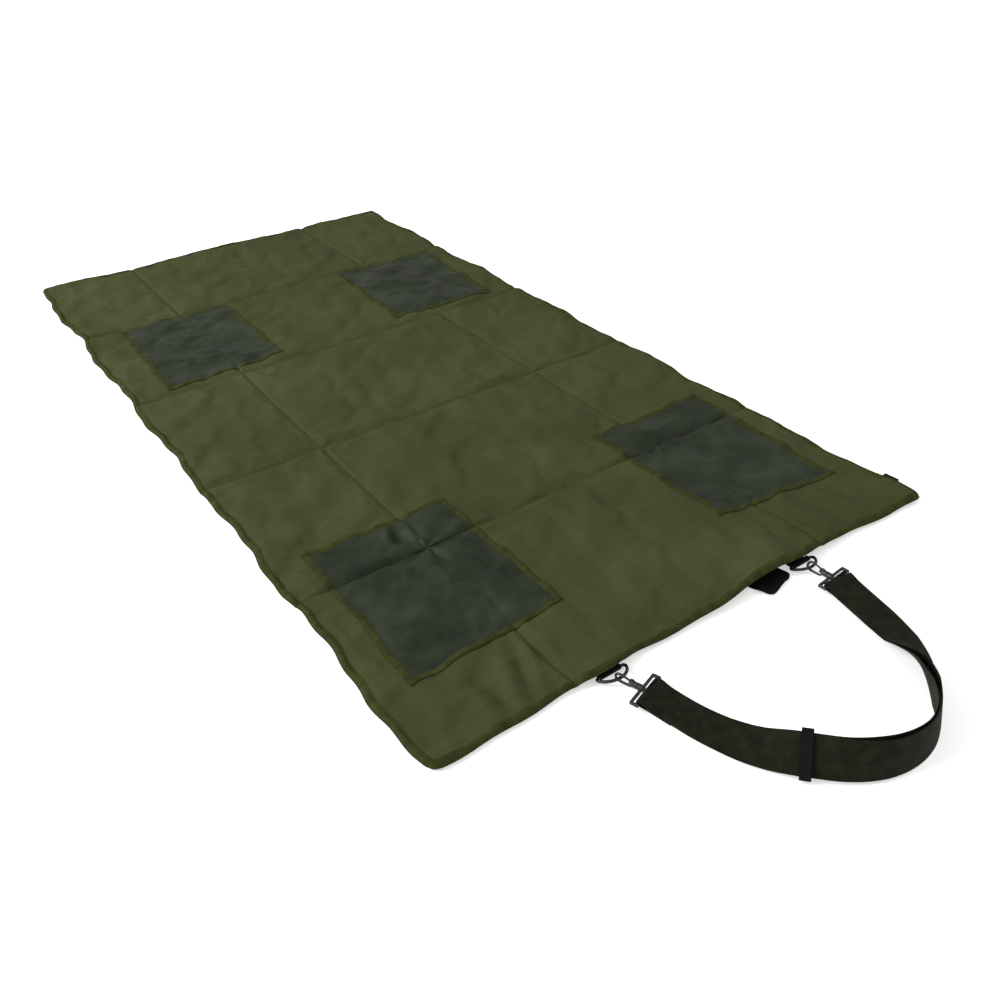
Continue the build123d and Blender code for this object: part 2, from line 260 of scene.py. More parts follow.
def lie(x, y):
    # how the whole mat lies: lift off the floor (z) and drift of the edges (x, y)
    near = bump(y, -mat["halfLength"], lying["nearReach"])
    far = bump(y, mat["halfLength"], lying["farReach"])
    side = bump(np.abs(x), mat["halfWidth"], lying["sideReach"])
    swell = lying["nearLift"] * bump(x, lying["nearPlace"], lying["nearHalf"])
    z = near * (swell + 0.0022 * bump(x, -0.17, 0.06))
    z += far * (0.0035 * bump(x, 0.02, 0.17) + 0.0020 * bump(x, -0.36, 0.05))
    sideWave = 0.5 + 0.5 * np.sin(y * 2 * np.pi / 0.175 + 1.3 * np.sign(x) + 1.5 * np.sin(3 * y))
    z += side * lying["sideLift"] * sideWave
    rows = sum(bump(y, r, 0.035) for r in rowLines[1:-1])
    z += lying["creaseLift"] * rows * (0.35 + 0.65 * side)
    dx = side * np.sign(x) * (0.0042 * np.sin(y * 2 * np.pi / 0.29 + 0.8 * np.sign(x)) - 0.0034 * rows)
    dx += side * np.sign(x) * 0.0016 * np.sin(y * 2 * np.pi / 0.083 + 2.0)
    dy = -near * (0.0030 * np.cos((x - 0.02) * 2 * np.pi / 0.42) + 0.0012 * np.sin(x * 2 * np.pi / 0.11))
    dy += far * (0.0034 * np.cos(x * 2 * np.pi / 0.36 + 0.6) + 0.0014 * np.sin(x * 2 * np.pi / 0.09))
    brink = bump(y, -mat["halfLength"], 0.032)  # the edge rides over the bars of the rings
    z += lying["barLift"] * brink * bump(x, -mat["tabX"], 0.046)
    dy -= lying["overhang"] * brink * (bump(x, -mat["tabX"], 0.042) + bump(x, mat["tabX"], 0.034))
    rightCorner = np.exp(-np.hypot((x - mat["halfWidth"]) / 0.16, (y + mat["halfLength"]) / 0.09))
    dx += lying["cornerOut"] * rightCorner
    dy -= lying["cornerNear"] * rightCorner
    cornerX, cornerY = cornerPull(x, y)
    return dx + cornerX, dy + cornerY, z


drape = {"step": 0.0105, "frames": 20, "grow": 0.022, "hold": 0.16, "seam": 0.007, "cap": 0.0038}


def gridLines():
    # the two sets of lines of the simulated sheet
    xs = np.linspace(-mat["halfWidth"], mat["halfWidth"], int(2 * mat["halfWidth"] / drape["step"]) + 1)
    ys = np.linspace(-mat["halfLength"], mat["halfLength"], int(2 * mat["halfLength"] / drape["step"]) + 1)
    return xs, ys


def simulateTop():
    # cloth simulation of the top cloth: a slightly oversize sheet, sewn down along its edges and creases
    xs, ys = gridLines()
    x, y = np.meshgrid(xs, ys)
    z = 0.0006 * ripples(x, y, 31, 14, 0.05, 0.17)
    sheet = addMesh("topSheet", np.stack([x, y, z], -1).reshape(-1, 3), gridFaces(*x.shape))
    dx, dy = creaseDistances(x, y)
    edge = np.minimum(mat["halfWidth"] - np.abs(x), mat["halfLength"] - np.abs(y))
    sewn = np.minimum(np.minimum(dx, dy), edge).ravel() < drape["seam"]
    group = sheet.vertex_groups.new(name="held")
    group.add(np.flatnonzero(sewn).tolist(), 1.0, "REPLACE")
    group.add(np.flatnonzero(~sewn).tolist(), drape["hold"], "REPLACE")
    cloth = sheet.modifiers.new("cloth", "CLOTH")
    c = cloth.settings
    c.quality, c.mass, c.air_damping = 7, 0.25, 2.0
    c.tension_stiffness, c.compression_stiffness, c.shear_stiffness, c.bending_stiffness = 25, 25, 6, 0.6
    c.shrink_min = -drape["grow"]
    c.vertex_group_mass, c.pin_stiffness = "held", 1.0
    c.effector_weights.gravity = 0.0
    cloth.collision_settings.use_collision = False
    cloth.point_cache.frame_start, cloth.point_cache.frame_end = 1, drape["frames"]
    for f in range(1, drape["frames"] + 1):
        bpy.context.scene.frame_set(f)
    settled = sheet.evaluated_get(bpy.context.evaluated_depsgraph_get()).to_mesh()
    co = np.zeros(len(settled.vertices) * 3)
    settled.vertices.foreach_get("co", co)
    bpy.context.scene.frame_set(1)
    bpy.data.objects.remove(sheet)
    rise = co.reshape(*x.shape, 3)[:, :, 2]
    print("cloth settled, height from", round(float(rise.min()), 4), "to", round(float(rise.max()), 4))
    return drape["cap"] * np.tanh(rise / drape["cap"])


def drapeHeight(x, y):
    # height of the simulated cloth at any place, straight lines between its points
    if sheetRise is None:
        return np.zeros_like(x)
    xs, ys = gridLines()
    u = np.clip((x - xs[0]) / (xs[1] - xs[0]), 0, len(xs) - 1.001)
    v = np.clip((y - ys[0]) / (ys[1] - ys[0]), 0, len(ys) - 1.001)
    i, j = u.astype(int), v.astype(int)
    a, b = soften(u - i) * 0.4 + (u - i) * 0.6, soften(v - j) * 0.4 + (v - j) * 0.6
    low = sheetRise[j, i] * (1 - a) + sheetRise[j, i + 1] * a
    high = sheetRise[j + 1, i] * (1 - a) + sheetRise[j + 1, i + 1] * a
    return low * (1 - b) + high * b


def topHeight(x, y):
    # height of the top cloth over the mat's own underside
    high = mat["thickness"] + padCrown(x, y) - groove(x, y) + wrinkles(x, y)
    edge = np.minimum(mat["halfWidth"] - np.abs(x), mat["halfLength"] - np.abs(y))
    high += (foldHeight(x, y) + drapeHeight(x, y)) * soften(edge / 0.012)
    high += 0.00055 * ripples(x, y, 4, 9, 0.06, 0.21) + 0.00015 * ripples(x, y, 8, 8, 0.018, 0.04)
    hem = 0.0014 * bump(edge, mat["hemIn"] + 0.0012, 0.0016) - 0.0007 * bump(edge, 0.0052, 0.0034)
    return high - hem


def settle(x, y, z):
    # a point of the flat mat, moved to where the cloth lies
    dx, dy, dz = lie(x, y)
    return np.stack([x + dx, y + dy, z + dz], axis=-1)


def spread(a, b, step, tight, edges=(True, True)):
    # positions from a to b, spaced by step, with closer ones beside the ends that need them
    close = np.array([0, 0.0008, 0.0018, 0.0032, 0.0050, 0.0072, 0.0096, 0.0122]) * tight
    low = a + close if edges[0] else np.array([a])
    high = b - close[::-1] if edges[1] else np.array([b])
    count = max(2, int(round((high[0] - low[-1]) / step)))
    return np.concatenate([low, np.linspace(low[-1], high[0], count + 1)[1:-1], high])


def addMesh(name, points, faces, uv=None, materials=(), index=None, smooth=True):
    # one mesh object: points (n, 3), faces as an array or list, UVs by point and material numbers by face
    mesh = bpy.data.meshes.new(name)
    mesh.from_pydata(points.tolist(), [], faces if isinstance(faces, list) else faces.tolist())
    for m in materials:
        mesh.materials.append(m)
    if index is not None:
        mesh.polygons.foreach_set("material_index", index.astype(np.int32))
    if uv is not None:
        layer = mesh.uv_layers.new(name="UVMap")
        corners = np.zeros(len(mesh.loops), np.int32)
        mesh.loops.foreach_get("vertex_index", corners)
        layer.data.foreach_set("uv", uv[corners].astype(np.float32).ravel())
    mesh.polygons.foreach_set("use_smooth", np.full(len(mesh.polygons), smooth))
    mesh.validate()
    mesh.update()
    o = bpy.data.objects.new(name, mesh)
    bpy.context.scene.collection.objects.link(o)
    return o


def gridFaces(rows, across, offset=0, flip=False, closeAcross=False):
    # quads of a grid of rows by across points, the last column joined to the first on a tube
    i = np.arange(rows - 1)[:, None]
    j = np.arange(across if closeAcross else across - 1)[None, :]
    k = (j + 1) % across
    quads = np.stack([i * across + j, i * across + k, (i + 1) * across + k, (i + 1) * across + j], -1)
    quads = quads.reshape(-1, 4) + offset
    return quads[:, ::-1] if flip else quads


def rimLoop(rows, across):
    # indices round the border of a grid, anticlockwise seen from above when x is across and y is rows
    first = np.arange(across)
    right = np.arange(1, rows) * across + across - 1
    back = (rows - 1) * across + np.arange(across - 2, -1, -1)
    left = np.arange(rows - 2, 0, -1) * across
    return np.concatenate([first, right, back, left])


def closedPad(top, bottom, rings):
    # a pad: top grid, bottom grid and rings of points between their rims, all joined into one closed skin
    rows, across = top.shape[:2]
    rim = rimLoop(rows, across)
    points = [top.reshape(-1, 3), bottom.reshape(-1, 3)] + list(rings)
    faces = [gridFaces(rows, across), gridFaces(rows, across, rows * across, flip=True)]
    loops = [rim] + [2 * rows * across + k * len(rim) + np.arange(len(rim)) for k in range(len(rings))]
    loops.append(rows * across + rim)
    for upper, lower in zip(loops, loops[1:]):
        faces.append(np.stack([upper, lower, np.roll(lower, -1), np.roll(upper, -1)], -1))
    counts = [len(f) for f in faces]
    return np.concatenate(points), np.concatenate(faces), counts


sheetRise = simulateTop()


def linear(hexCode, alpha=1.0):
    # sRGB hex to linear colour
    c = np.array([int(hexCode[i : i + 2], 16) for i in (1, 3, 5)]) / 255
    c = np.where(c <= 0.04045, c / 12.92, ((c + 0.055) / 1.055) ** 2.4)
    return (*c.tolist(), alpha)


def node(tree, kind, inputs=None, **settings):
    # adds one node; an input is a value, or another node's socket to link from
    n = tree.nodes.new(kind)
    for key, value in settings.items():
        setattr(n, key, value)
    for key, value in (inputs or {}).items():
        if isinstance(value, bpy.types.NodeSocket):
            tree.links.new(value, n.inputs[key])
        else:
            n.inputs[key].default_value = value
    return n


def newMaterial(name):
    m = bpy.data.materials.new(name)
    m.use_nodes = True
    m.node_tree.nodes.clear()
    return m, m.node_tree


def bumped(tree, height, strength, distance, under=None):
    # the normal of a bump, laid over another normal when there is one
    inputs = {"Height": height, "Strength": strength, "Distance": distance}
    if under is not None:
        inputs["Normal"] = under
    return node(tree, "ShaderNodeBump", inputs).outputs[0]


def shade(tree, colour, rough, ior, normal, specular):
    # principled shader of a material, joined to its output
    inputs = {"Base Color": colour, "Roughness": rough, "IOR": ior, "Specular IOR Level": specular}
    if normal is not None:
        inputs["Normal"] = normal
    shader = node(tree, "ShaderNodeBsdfPrincipled", inputs)
    node(tree, "ShaderNodeOutputMaterial", {"Surface": shader.outputs[0]})
    return shader


def ramp(tree, value, stops):
    # colour ramp from a value, stops as (position, hex)
    r = node(tree, "ShaderNodeValToRGB", {"Fac": value})
    while len(r.color_ramp.elements) < len(stops):
        r.color_ramp.elements.new(0.5)
    for e, (place, code) in zip(r.color_ramp.elements, stops):
        e.position, e.color = place, linear(code)
    return r.outputs["Color"]


def weaveHeight(tree, vector, pitch, pitchAcross=None):
    # plain weave: product of a sine across and a sine along, one thread each half turn
    parts = node(tree, "ShaderNodeSeparateXYZ", {"Vector": vector}).outputs
    sines = []
    for socket, size in ((parts["X"], pitch), (parts["Y"], pitchAcross or pitch)):
        scaled = node(tree, "ShaderNodeMath", {0: socket, 1: math.pi / size}, operation="MULTIPLY")
        sines.append(node(tree, "ShaderNodeMath", {0: scaled.outputs[0]}, operation="SINE").outputs[0])
    both = node(tree, "ShaderNodeMath", {0: sines[0], 1: sines[1]}, operation="MULTIPLY")
    return node(tree, "ShaderNodeMapRange", {"Value": both.outputs[0], "From Min": -1.0}).outputs["Result"]


oxford = {"colours": ("#343920", "#414629", "#4c5133"), "thread": 0.0011, "rough": 0.86, "bump": 0.00022}


def wovenPolyester():
    # 600-denier polyester oxford, dyed olive, matt; its 0.5 mm threads are drawn at 1.1 mm to show
    m, t = newMaterial("olivePolyesterOxford")
    where = node(t, "ShaderNodeTexCoord").outputs["Object"]
    weave = weaveHeight(t, where, oxford["thread"])
    cloud = node(t, "ShaderNodeTexNoise", {"Vector": where, "Scale": 4.5, "Detail": 5.0, "Roughness": 0.6})
    slub = node(t, "ShaderNodeMapping", {"Vector": where, "Scale": (14.0, 420.0, 14.0)}).outputs[0]
    slub = node(t, "ShaderNodeTexNoise", {"Vector": slub, "Scale": 1.0, "Detail": 2.0}).outputs["Fac"]
    tone = node(t, "ShaderNodeMath", {0: cloud.outputs["Fac"], 1: 0.55}, operation="MULTIPLY").outputs[0]
    tone = node(t, "ShaderNodeMath", {0: slub, 1: 0.25, 2: tone}, operation="MULTIPLY_ADD").outputs[0]
    tone = node(t, "ShaderNodeMath", {0: weave, 1: 0.20, 2: tone}, operation="MULTIPLY_ADD").outputs[0]
    low, mid, high = oxford["colours"]
    colour = ramp(t, tone, [(0.30, low), (0.50, mid), (0.72, high)])
    surface = bumped(t, weave, 0.55, oxford["bump"])
    fuzz = node(t, "ShaderNodeTexNoise", {"Vector": where, "Scale": 190.0, "Detail": 3.0}).outputs["Fac"]
    surface = bumped(t, fuzz, 0.5, 0.0004, surface)
    shade(t, colour, oxford["rough"], 1.45, surface, 0.10)
    return m


patchLook = {"colours": ("#1c2218", "#282e21", "#353b2b"), "grain": 0.0016}


def rubberisedCloth():
    # PVC-coated cloth, embossed with a fine leather grain: dark grey green with a soft wide shine
    m, t = newMaterial("rubberisedGripCloth")
    where = node(t, "ShaderNodeTexCoord").outputs["Object"]
    grain = node(t, "ShaderNodeTexVoronoi", {"Vector": where, "Scale": 1 / patchLook["grain"]})
    cloud = node(t, "ShaderNodeTexNoise", {"Vector": where, "Scale": 9.0, "Detail": 6.0, "Roughness": 0.65})
    scuff = node(t, "ShaderNodeTexNoise", {"Vector": where, "Scale": 42.0, "Detail": 4.0}).outputs["Fac"]
    mixed = {0: scuff, 1: 0.35, 2: cloud.outputs["Fac"]}
    tone = node(t, "ShaderNodeMath", mixed, operation="MULTIPLY_ADD").outputs[0]
    low, mid, high = patchLook["colours"]
    colour = ramp(t, tone, [(0.45, low), (0.66, mid), (0.92, high)])
    rough = node(t, "ShaderNodeMapRange", {"Value": scuff, "To Min": 0.42, "To Max": 0.62}).outputs["Result"]
    surface = bumped(t, cloud.outputs["Fac"], 0.5, 0.004, bumped(t, grain.outputs["Distance"], 0.45, 0.0003))
    shade(t, colour, rough, 1.5, surface, 0.11)
    return m


def ribbedTape(name, colours, ribs, rough):
    # woven tape or webbing: ribs across its length, from the piece's own UV in metres
    m, t = newMaterial(name)
    where = node(t, "ShaderNodeUVMap", uv_map="UVMap").outputs["UV"]
    weave = weaveHeight(t, where, ribs, ribs * 0.8)
    cloud = node(t, "ShaderNodeTexNoise", {"Vector": where, "Scale": 60.0, "Detail": 4.0}).outputs["Fac"]
    tone = node(t, "ShaderNodeMath", {0: weave, 1: 0.5, 2: cloud}, operation="MULTIPLY_ADD").outputs[0]
    colour = ramp(t, tone, [(0.40, colours[0]), (0.70, colours[1]), (1.0, colours[2])])
    shade(t, colour, rough, 1.49, bumped(t, weave, 0.6, ribs * 0.35), 0.08)
    return m


def coatedNylon():
    # PU-coated nylon of the underside: near black, smooth with a faint ripstop grid of 6 mm
    m, t = newMaterial("blackCoatedNylon")
    where = node(t, "ShaderNodeTexCoord").outputs["Object"]
    grid = weaveHeight(t, where, 0.006)
    cloud = node(t, "ShaderNodeTexNoise", {"Vector": where, "Scale": 12.0, "Detail": 5.0}).outputs["Fac"]
    colour = ramp(t, cloud, [(0.3, "#10110d"), (0.7, "#1b1c16")])
    shade(t, colour, 0.55, 1.5, bumped(t, cloud, 0.4, 0.003, bumped(t, grid, 0.3, 0.0003)), 0.5)
    return m


def lacqueredZinc():
    # die-cast zinc, black lacquered: deep black with a soft gloss and slight orange peel
    m, t = newMaterial("blackLacqueredZinc")
    where = node(t, "ShaderNodeTexCoord").outputs["Object"]
    peel = node(t, "ShaderNodeTexNoise", {"Vector": where, "Scale": 900.0, "Detail": 2.0}).outputs["Fac"]
    smear = node(t, "ShaderNodeTexNoise", {"Vector": where, "Scale": 130.0, "Detail": 5.0}).outputs["Fac"]
    colour = ramp(t, smear, [(0.35, "#080808"), (0.6, "#0e0e0e"), (0.8, "#1a1a19")])
    rough = node(t, "ShaderNodeMapRange", {"Value": smear, "To Min": 0.32, "To Max": 0.5}).outputs["Result"]
    shader = shade(t, colour, rough, 1.5, bumped(t, peel, 0.25, 0.0002), 0.5)
    shader.inputs["Coat Weight"].default_value = 0.08
    shader.inputs["Coat Roughness"].default_value = 0.18
    return m


def mouldedPlastic():
    # black acetal of the strap slider: satin, with the fine spark texture of its mould
    m, t = newMaterial("blackAcetal")
    where = node(t, "ShaderNodeTexCoord").outputs["Object"]
    spark = node(t, "ShaderNodeTexNoise", {"Vector": where, "Scale": 1400.0, "Detail": 3.0}).outputs["Fac"]
    smear = node(t, "ShaderNodeTexNoise", {"Vector": where, "Scale": 160.0, "Detail": 4.0}).outputs["Fac"]
    colour = ramp(t, smear, [(0.35, "#060606"), (0.7, "#10100f")])
    shade(t, colour, 0.55, 1.48, bumped(t, spark, 0.3, 0.0001), 0.12)
    return m


def studioFloor():
    m, t = newMaterial("paleFloor")
    shader = shade(t, linear("#f6f6f6"), 0.9, 1.45, None, 0.0)
    shader.inputs["Emission Color"].default_value = linear("#ffffff")
    shader.inputs["Emission Strength"].default_value = 0.45
    return m


clothTop = wovenPolyester()
patchCloth = rubberisedCloth()
bindingTape = ribbedTape("oliveBindingTape", ("#262712", "#343619", "#424421"), 0.0014, 0.82)
strapWebbing = ribbedTape("olivePolyesterWebbing", ("#0e0f08", "#191a10", "#252618"), 0.0017, 0.75)
blackWebbing = ribbedTape("blackPolyesterWebbing", ("#060606", "#0e0e0d", "#191918"), 0.0017, 0.75)
underside = coatedNylon()
hardware = lacqueredZinc()
sliderPlastic = mouldedPlastic()
print("materials made")


# pads: fifteen padded panels, one on each body
pad = {
    "underside": 0.0004,  # height of the bottom cloth off the floor
    "roundShare": 0.9,  # how much of the edge round is taken off above and below
    "bulge": 0.0016,  # how far the outer wall swells
    "tabRoom": 0.0020,  # hollow over each ring tab, then its half width and length
    "tabHalf": 0.0195,
    "tabLong": 0.045,
    "fill": 0.35,
}


def panelBody(row, column):
    return f"row_{row}" if column == "centre" else f"side_{column}_{row}"


def makePad(row, column):
    # top grid from the surface above, a flat bottom grid, and a rounded wall between their rims
    x0, x1 = columns[column]
    y0, y1 = rowLines[row - 1], rowLines[row]
    seamGap = mat["seamGap"]
    outerX = (column == "left", column == "right")
    outerY = (row == 1, row == mat["rows"])
    x0, x1 = x0 + (0 if outerX[0] else seamGap), x1 - (0 if outerX[1] else seamGap)
    y0, y1 = y0 + (0 if outerY[0] else seamGap), y1 - (0 if outerY[1] else seamGap)
    xs = spread(x0, x1, mat["step"], 1.0)
    ys = spread(y0, y1, mat["step"], 1.0)
    x, y = np.meshgrid(xs, ys)
    topZ = topHeight(x, y)
    edge = np.minimum(mat["halfWidth"] - np.abs(x), mat["halfLength"] - np.abs(y))
    r = mat["edgeRound"]
    roundOff = r - np.sqrt(np.clip(r * r - np.clip(r - edge, 0, r) ** 2, 0, None))
    topZ = topZ - pad["roundShare"] * roundOff
    bottomZ = pad["underside"] + pad["roundShare"] * roundOff
    if row == 1 and column == "centre":
        for tabX in (-mat["tabX"], mat["tabX"]):  # room for the ring tabs sewn underneath
            besideTab = np.abs(x - tabX) < pad["tabHalf"]
            bottomZ += pad["tabRoom"] * besideTab * (y < -mat["halfLength"] + pad["tabLong"])
    top = settle(x, y, topZ)
    bottom = settle(x, y, bottomZ)
    rim = rimLoop(*x.shape)
    upper, lower = top.reshape(-1, 3)[rim], bottom.reshape(-1, 3)[rim]
    flatX, flatY = x.ravel()[rim], y.ravel()[rim]
    outX = np.where((flatX >= x1) & outerX[1], 1.0, 0.0) - np.where((flatX <= x0) & outerX[0], 1.0, 0.0)
    outY = np.where((flatY >= y1) & outerY[1], 1.0, 0.0) - np.where((flatY <= y0) & outerY[0], 1.0, 0.0)
    rings = []
    for part in (0.25, 0.5, 0.75):  # the wall bulges outwards where it is an outer edge of the mat
        ring = upper + (lower - upper) * part
        bulge = pad["bulge"] * math.sin(math.pi * part)
        ring[:, 0] += bulge * outX
        ring[:, 1] += bulge * outY
        rings.append(ring)
    points, faces, counts = closedPad(top, bottom, rings)
    middle = (edge[:-1, :-1] + edge[1:, 1:]) / 2
    bound = (middle < mat["hemIn"]).ravel()
    index = np.zeros(len(faces), int)
    index[: counts[0]] = 2 * bound
    index[counts[0] : counts[0] + counts[1]] = 1 + bound
    outer = (np.abs(flatX) >= mat["halfWidth"] - 1e-6) | (np.abs(flatY) >= mat["halfLength"] - 1e-6)
    wall = np.tile(2 * (outer & np.roll(outer, -1)), len(rings) + 1)
    index[counts[0] + counts[1] :] = wall
    besideX = mat["halfWidth"] - np.abs(x) < mat["halfLength"] - np.abs(y)
    tape = np.stack([edge, np.where(besideX, y, x)], -1).reshape(-1, 2)
    uv = np.concatenate([tape, tape] + [tape[rim]] * len(rings))
    o = addMesh(f"pad_{row}_{column}", points, faces, uv, (clothTop, underside, bindingTape), index)
    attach(o, panelBody(row, column))
    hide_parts(f"foam_{row}_{column}", f"cover_{row}_{column}")


for row in range(1, mat["rows"] + 1):
    for column in columns:
        makePad(row, column)
print("pads made")


# strips of cloth inside the creases, lying between two pads
creaseStrip = {"half": 0.0095, "low": 0.0012, "high": 0.0026}


def makeStrip(name, a, b, along, across):
    # a thin closed ribbon: long grid along the crease, nine points across it
    s = np.linspace(a, b, max(8, int((b - a) / 0.006)))
    c = np.linspace(-creaseStrip["half"], creaseStrip["half"], 9)
    cc, ss = np.meshgrid(c, s)
    if along == "x":
        x, y = ss, across + cc
    else:
        x, y = across - cc, ss
    skins = [settle(x, y, np.full_like(x, creaseStrip[level])) for level in ("high", "low")]
    if along == "x":
        skins = [skin[:, ::-1] for skin in skins]
    points, faces, counts = closedPad(skins[0][:, ::-1], skins[1][:, ::-1], [])
    o = addMesh(name, points, faces, None, (clothTop,))
    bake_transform(o)


for row in range(1, mat["rows"]):
    makeStrip(
        f"crease_{row}_{row + 1}", -mat["sideCrease"] + 0.004, mat["sideCrease"] - 0.004, "x", rowLines[row],
    )
for row in range(1, mat["rows"] + 1):
    for side, hand in ((-1, "left"), (1, "right")):
        makeStrip(
            f"crease_{hand}_{row}", rowLines[row - 1] + 0.006, rowLines[row] - 0.006, "y",
            side * mat["sideCrease"],
        )
print("crease cloth made")


# patches: corners on the flat mat as near-left, near-right, far-right, far-left
patchShape = {"thick": 0.0009, "frame": 0.0096, "frameThick": 0.0019, "sink": 0.0012, "step": 0.0042}
frameLines = np.array([0, 0.0006, 0.0016, 0.0034, 0.0060, 0.0078, 0.0090, 0.0096, 0.0104, 0.0122, 0.0150])
creaseLines = np.array([0, 0.0009, 0.0020, 0.0036, 0.0058, 0.0086, 0.0120])
patches = {
    "elbow_patch_left": ((-0.399, -0.757), (-0.145, -0.742), (-0.149, -0.437), (-0.396, -0.433)),
    "elbow_patch_right": ((0.161, -0.739), (0.395, -0.763), (0.408, -0.441), (0.160, -0.433)),
    "knee_patch_left": ((-0.377, 0.187), (-0.127, 0.204), (-0.130, 0.513), (-0.371, 0.522)),
    "knee_patch_right": ((0.141, 0.210), (0.387, 0.194), (0.401, 0.498), (0.153, 0.526)),
}


def between(a, b, along, position):
    # a point's other coordinate on the line from a to b
    k = (position - a[1 - along]) / (b[1 - along] - a[1 - along])
    return a[along] + k * (b[along] - a[along])


def patchLines(length, cutLow, cutHigh):
    # grid lines over one stretch of a patch, as parts of its length, close together at its frame or crease
    low = creaseLines if cutLow else frameLines
    high = creaseLines if cutHigh else frameLines
    span = length - high[-1] - low[-1]
    count = max(2, int(round(span / patchShape["step"])))
    inner = np.linspace(low[-1], length - high[-1], count + 1)[1:-1]
    return np.concatenate([low, inner, length - high[::-1]]) / length


def makePatchPiece(name, corners, row, column):
    # the stretch of a patch on one pad: its grid runs from crease to outline, each outline edge straight
    nearLeft, nearRight, farRight, farLeft = corners
    gap = mat["seamGap"]
    x0, x1 = columns[column]
    y0, y1 = rowLines[row - 1], rowLines[row]
    midX = [np.mean([nearLeft[0], farLeft[0]]), np.mean([nearRight[0], farRight[0]])]
    midY = [np.mean([nearLeft[1], nearRight[1]]), np.mean([farLeft[1], farRight[1]])]
    cutLow, cutHigh = midY[0] < y0, midY[1] > y1
    cutLeft, cutRight = midX[0] < x0, midX[1] > x1
    fromX, toX = (x0 if cutLeft else midX[0]), (x1 if cutRight else midX[1])
    fromY, toY = (y0 if cutLow else midY[0]), (y1 if cutHigh else midY[1])
    uu, vv = np.meshgrid(patchLines(toX - fromX, cutLeft, cutRight), patchLines(toY - fromY, cutLow, cutHigh))
    nominalX = fromX + uu * (toX - fromX)
    low = y0 + gap if cutLow else between(nearLeft, nearRight, 1, nominalX)
    high = y1 - gap if cutHigh else between(farLeft, farRight, 1, nominalX)
    y = low + vv * (high - low)
    left = x0 + gap if cutLeft else between(nearLeft, farLeft, 0, y)
    right = x1 - gap if cutRight else between(nearRight, farRight, 0, y)
    x = left + uu * (right - left)
    far = np.full_like(x, 1.0)  # distances in from each edge of the outline, creases not counted
    long, deep = toX - fromX, toY - fromY
    fromSides = np.minimum(far if cutLeft else uu * long, far if cutRight else (1 - uu) * long)
    fromEnds = np.minimum(far if cutLow else vv * deep, far if cutHigh else (1 - vv) * deep)
    inward = np.minimum(fromSides, fromEnds)
    w = patchShape["frame"]
    tape = np.sqrt(np.clip(1 - np.abs(2 * np.clip(inward, 0, w) / w - 1) ** 3, 0, 1)) * (inward < w)
    stitch = 0.0007 * bump(inward, 0.0078, 0.0008) + 0.0003 * bump(inward, 0.0016, 0.0006)
    lift = patchShape["thick"] * soften(inward / 0.0006) + patchShape["frameThick"] * 0.6 * tape - stitch
    ruck = 0.00050 * ripples(x, y, 70 + row * 7 + len(column), 8, 0.030, 0.085) * soften(inward / 0.03)
    shallow = groove(x, y) - groove(x, y, 0.30)  # the patch lies nearly flat over the lengthwise crease
    ridge = 0.0011 * np.exp(-((creaseDistances(x, y)[0] / 0.0042) ** 2)) * soften(inward / 0.015)
    spare = shallow * soften((inward - w) / 0.02) + ridge
    edgeWave = 0.0011 * np.sin(y * 2 * np.pi / 0.061 + 2 * np.sin(9 * y)) * np.exp(-fromSides / 0.02)
    endWave = 0.0011 * np.sin(x * 2 * np.pi / 0.057 + 2 * np.sin(8 * x)) * np.exp(-fromEnds / 0.02)
    top = settle(x + edgeWave, y + endWave, topHeight(x, y) + lift + ruck + spare + 0.0003)
    bottom = settle(x + edgeWave, y + endWave, topHeight(x, y) - patchShape["sink"])
    points, faces, counts = closedPad(top, bottom, [])
    index = np.ones(len(faces), int)
    index[: counts[0]] = ((inward[:-1, :-1] + inward[1:, 1:]) / 2 < w).ravel()
    flat = np.stack([inward, np.where(fromSides < fromEnds, y, x)], -1).reshape(-1, 2)
    return addMesh(name, points, faces, np.concatenate([flat, flat]), (patchCloth, bindingTape), index)


def patchPieces(name, corners):
    for row in range(1, mat["rows"] + 1):
        for column in columns:
            place = "middle" if column == "centre" else "flap"
            cadNode = f"{name}_{row}_{place}"
            hand = name.split("_")[-1]
            if cadNode in nodes and column in ("centre", hand):
                o = makePatchPiece(f"{cadNode}_cloth", corners, row, column)
                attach(o, panelBody(row, column))
                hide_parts(cadNode)


for name, corners in patches.items():
    patchPieces(name, corners)
print("patches made")


# carrying strap: the middle of its webbing and its roll in degrees, flat at the hooks, on edge at the bend
nearEdge = -mat["halfLength"]
strap = {
    "width": 0.050,
    "thick": 0.0021,
    "doubledFrom": 3.72,  # count of the route point where the second layer begins
    "gap": 0.0024,
    "open": 0.0070,  # how far the layers part round the bend
    "barRadius": 0.0037,
    "barBack": 0.009,  # from the swivel to the frame's inner bar
    "lap": (0.014, 0.046),  # where the sewn lap begins and ends, from the left bar
}


def hookEnd(hand):
    # middle of the frame's inner bar, from the swivel's place and direction
    j = joints[f"hook_{hand}_swivel"]
    return np.array(j["pos_m"]) - np.array(j["axis"]) * strap["barBack"], np.array(j["axis"])


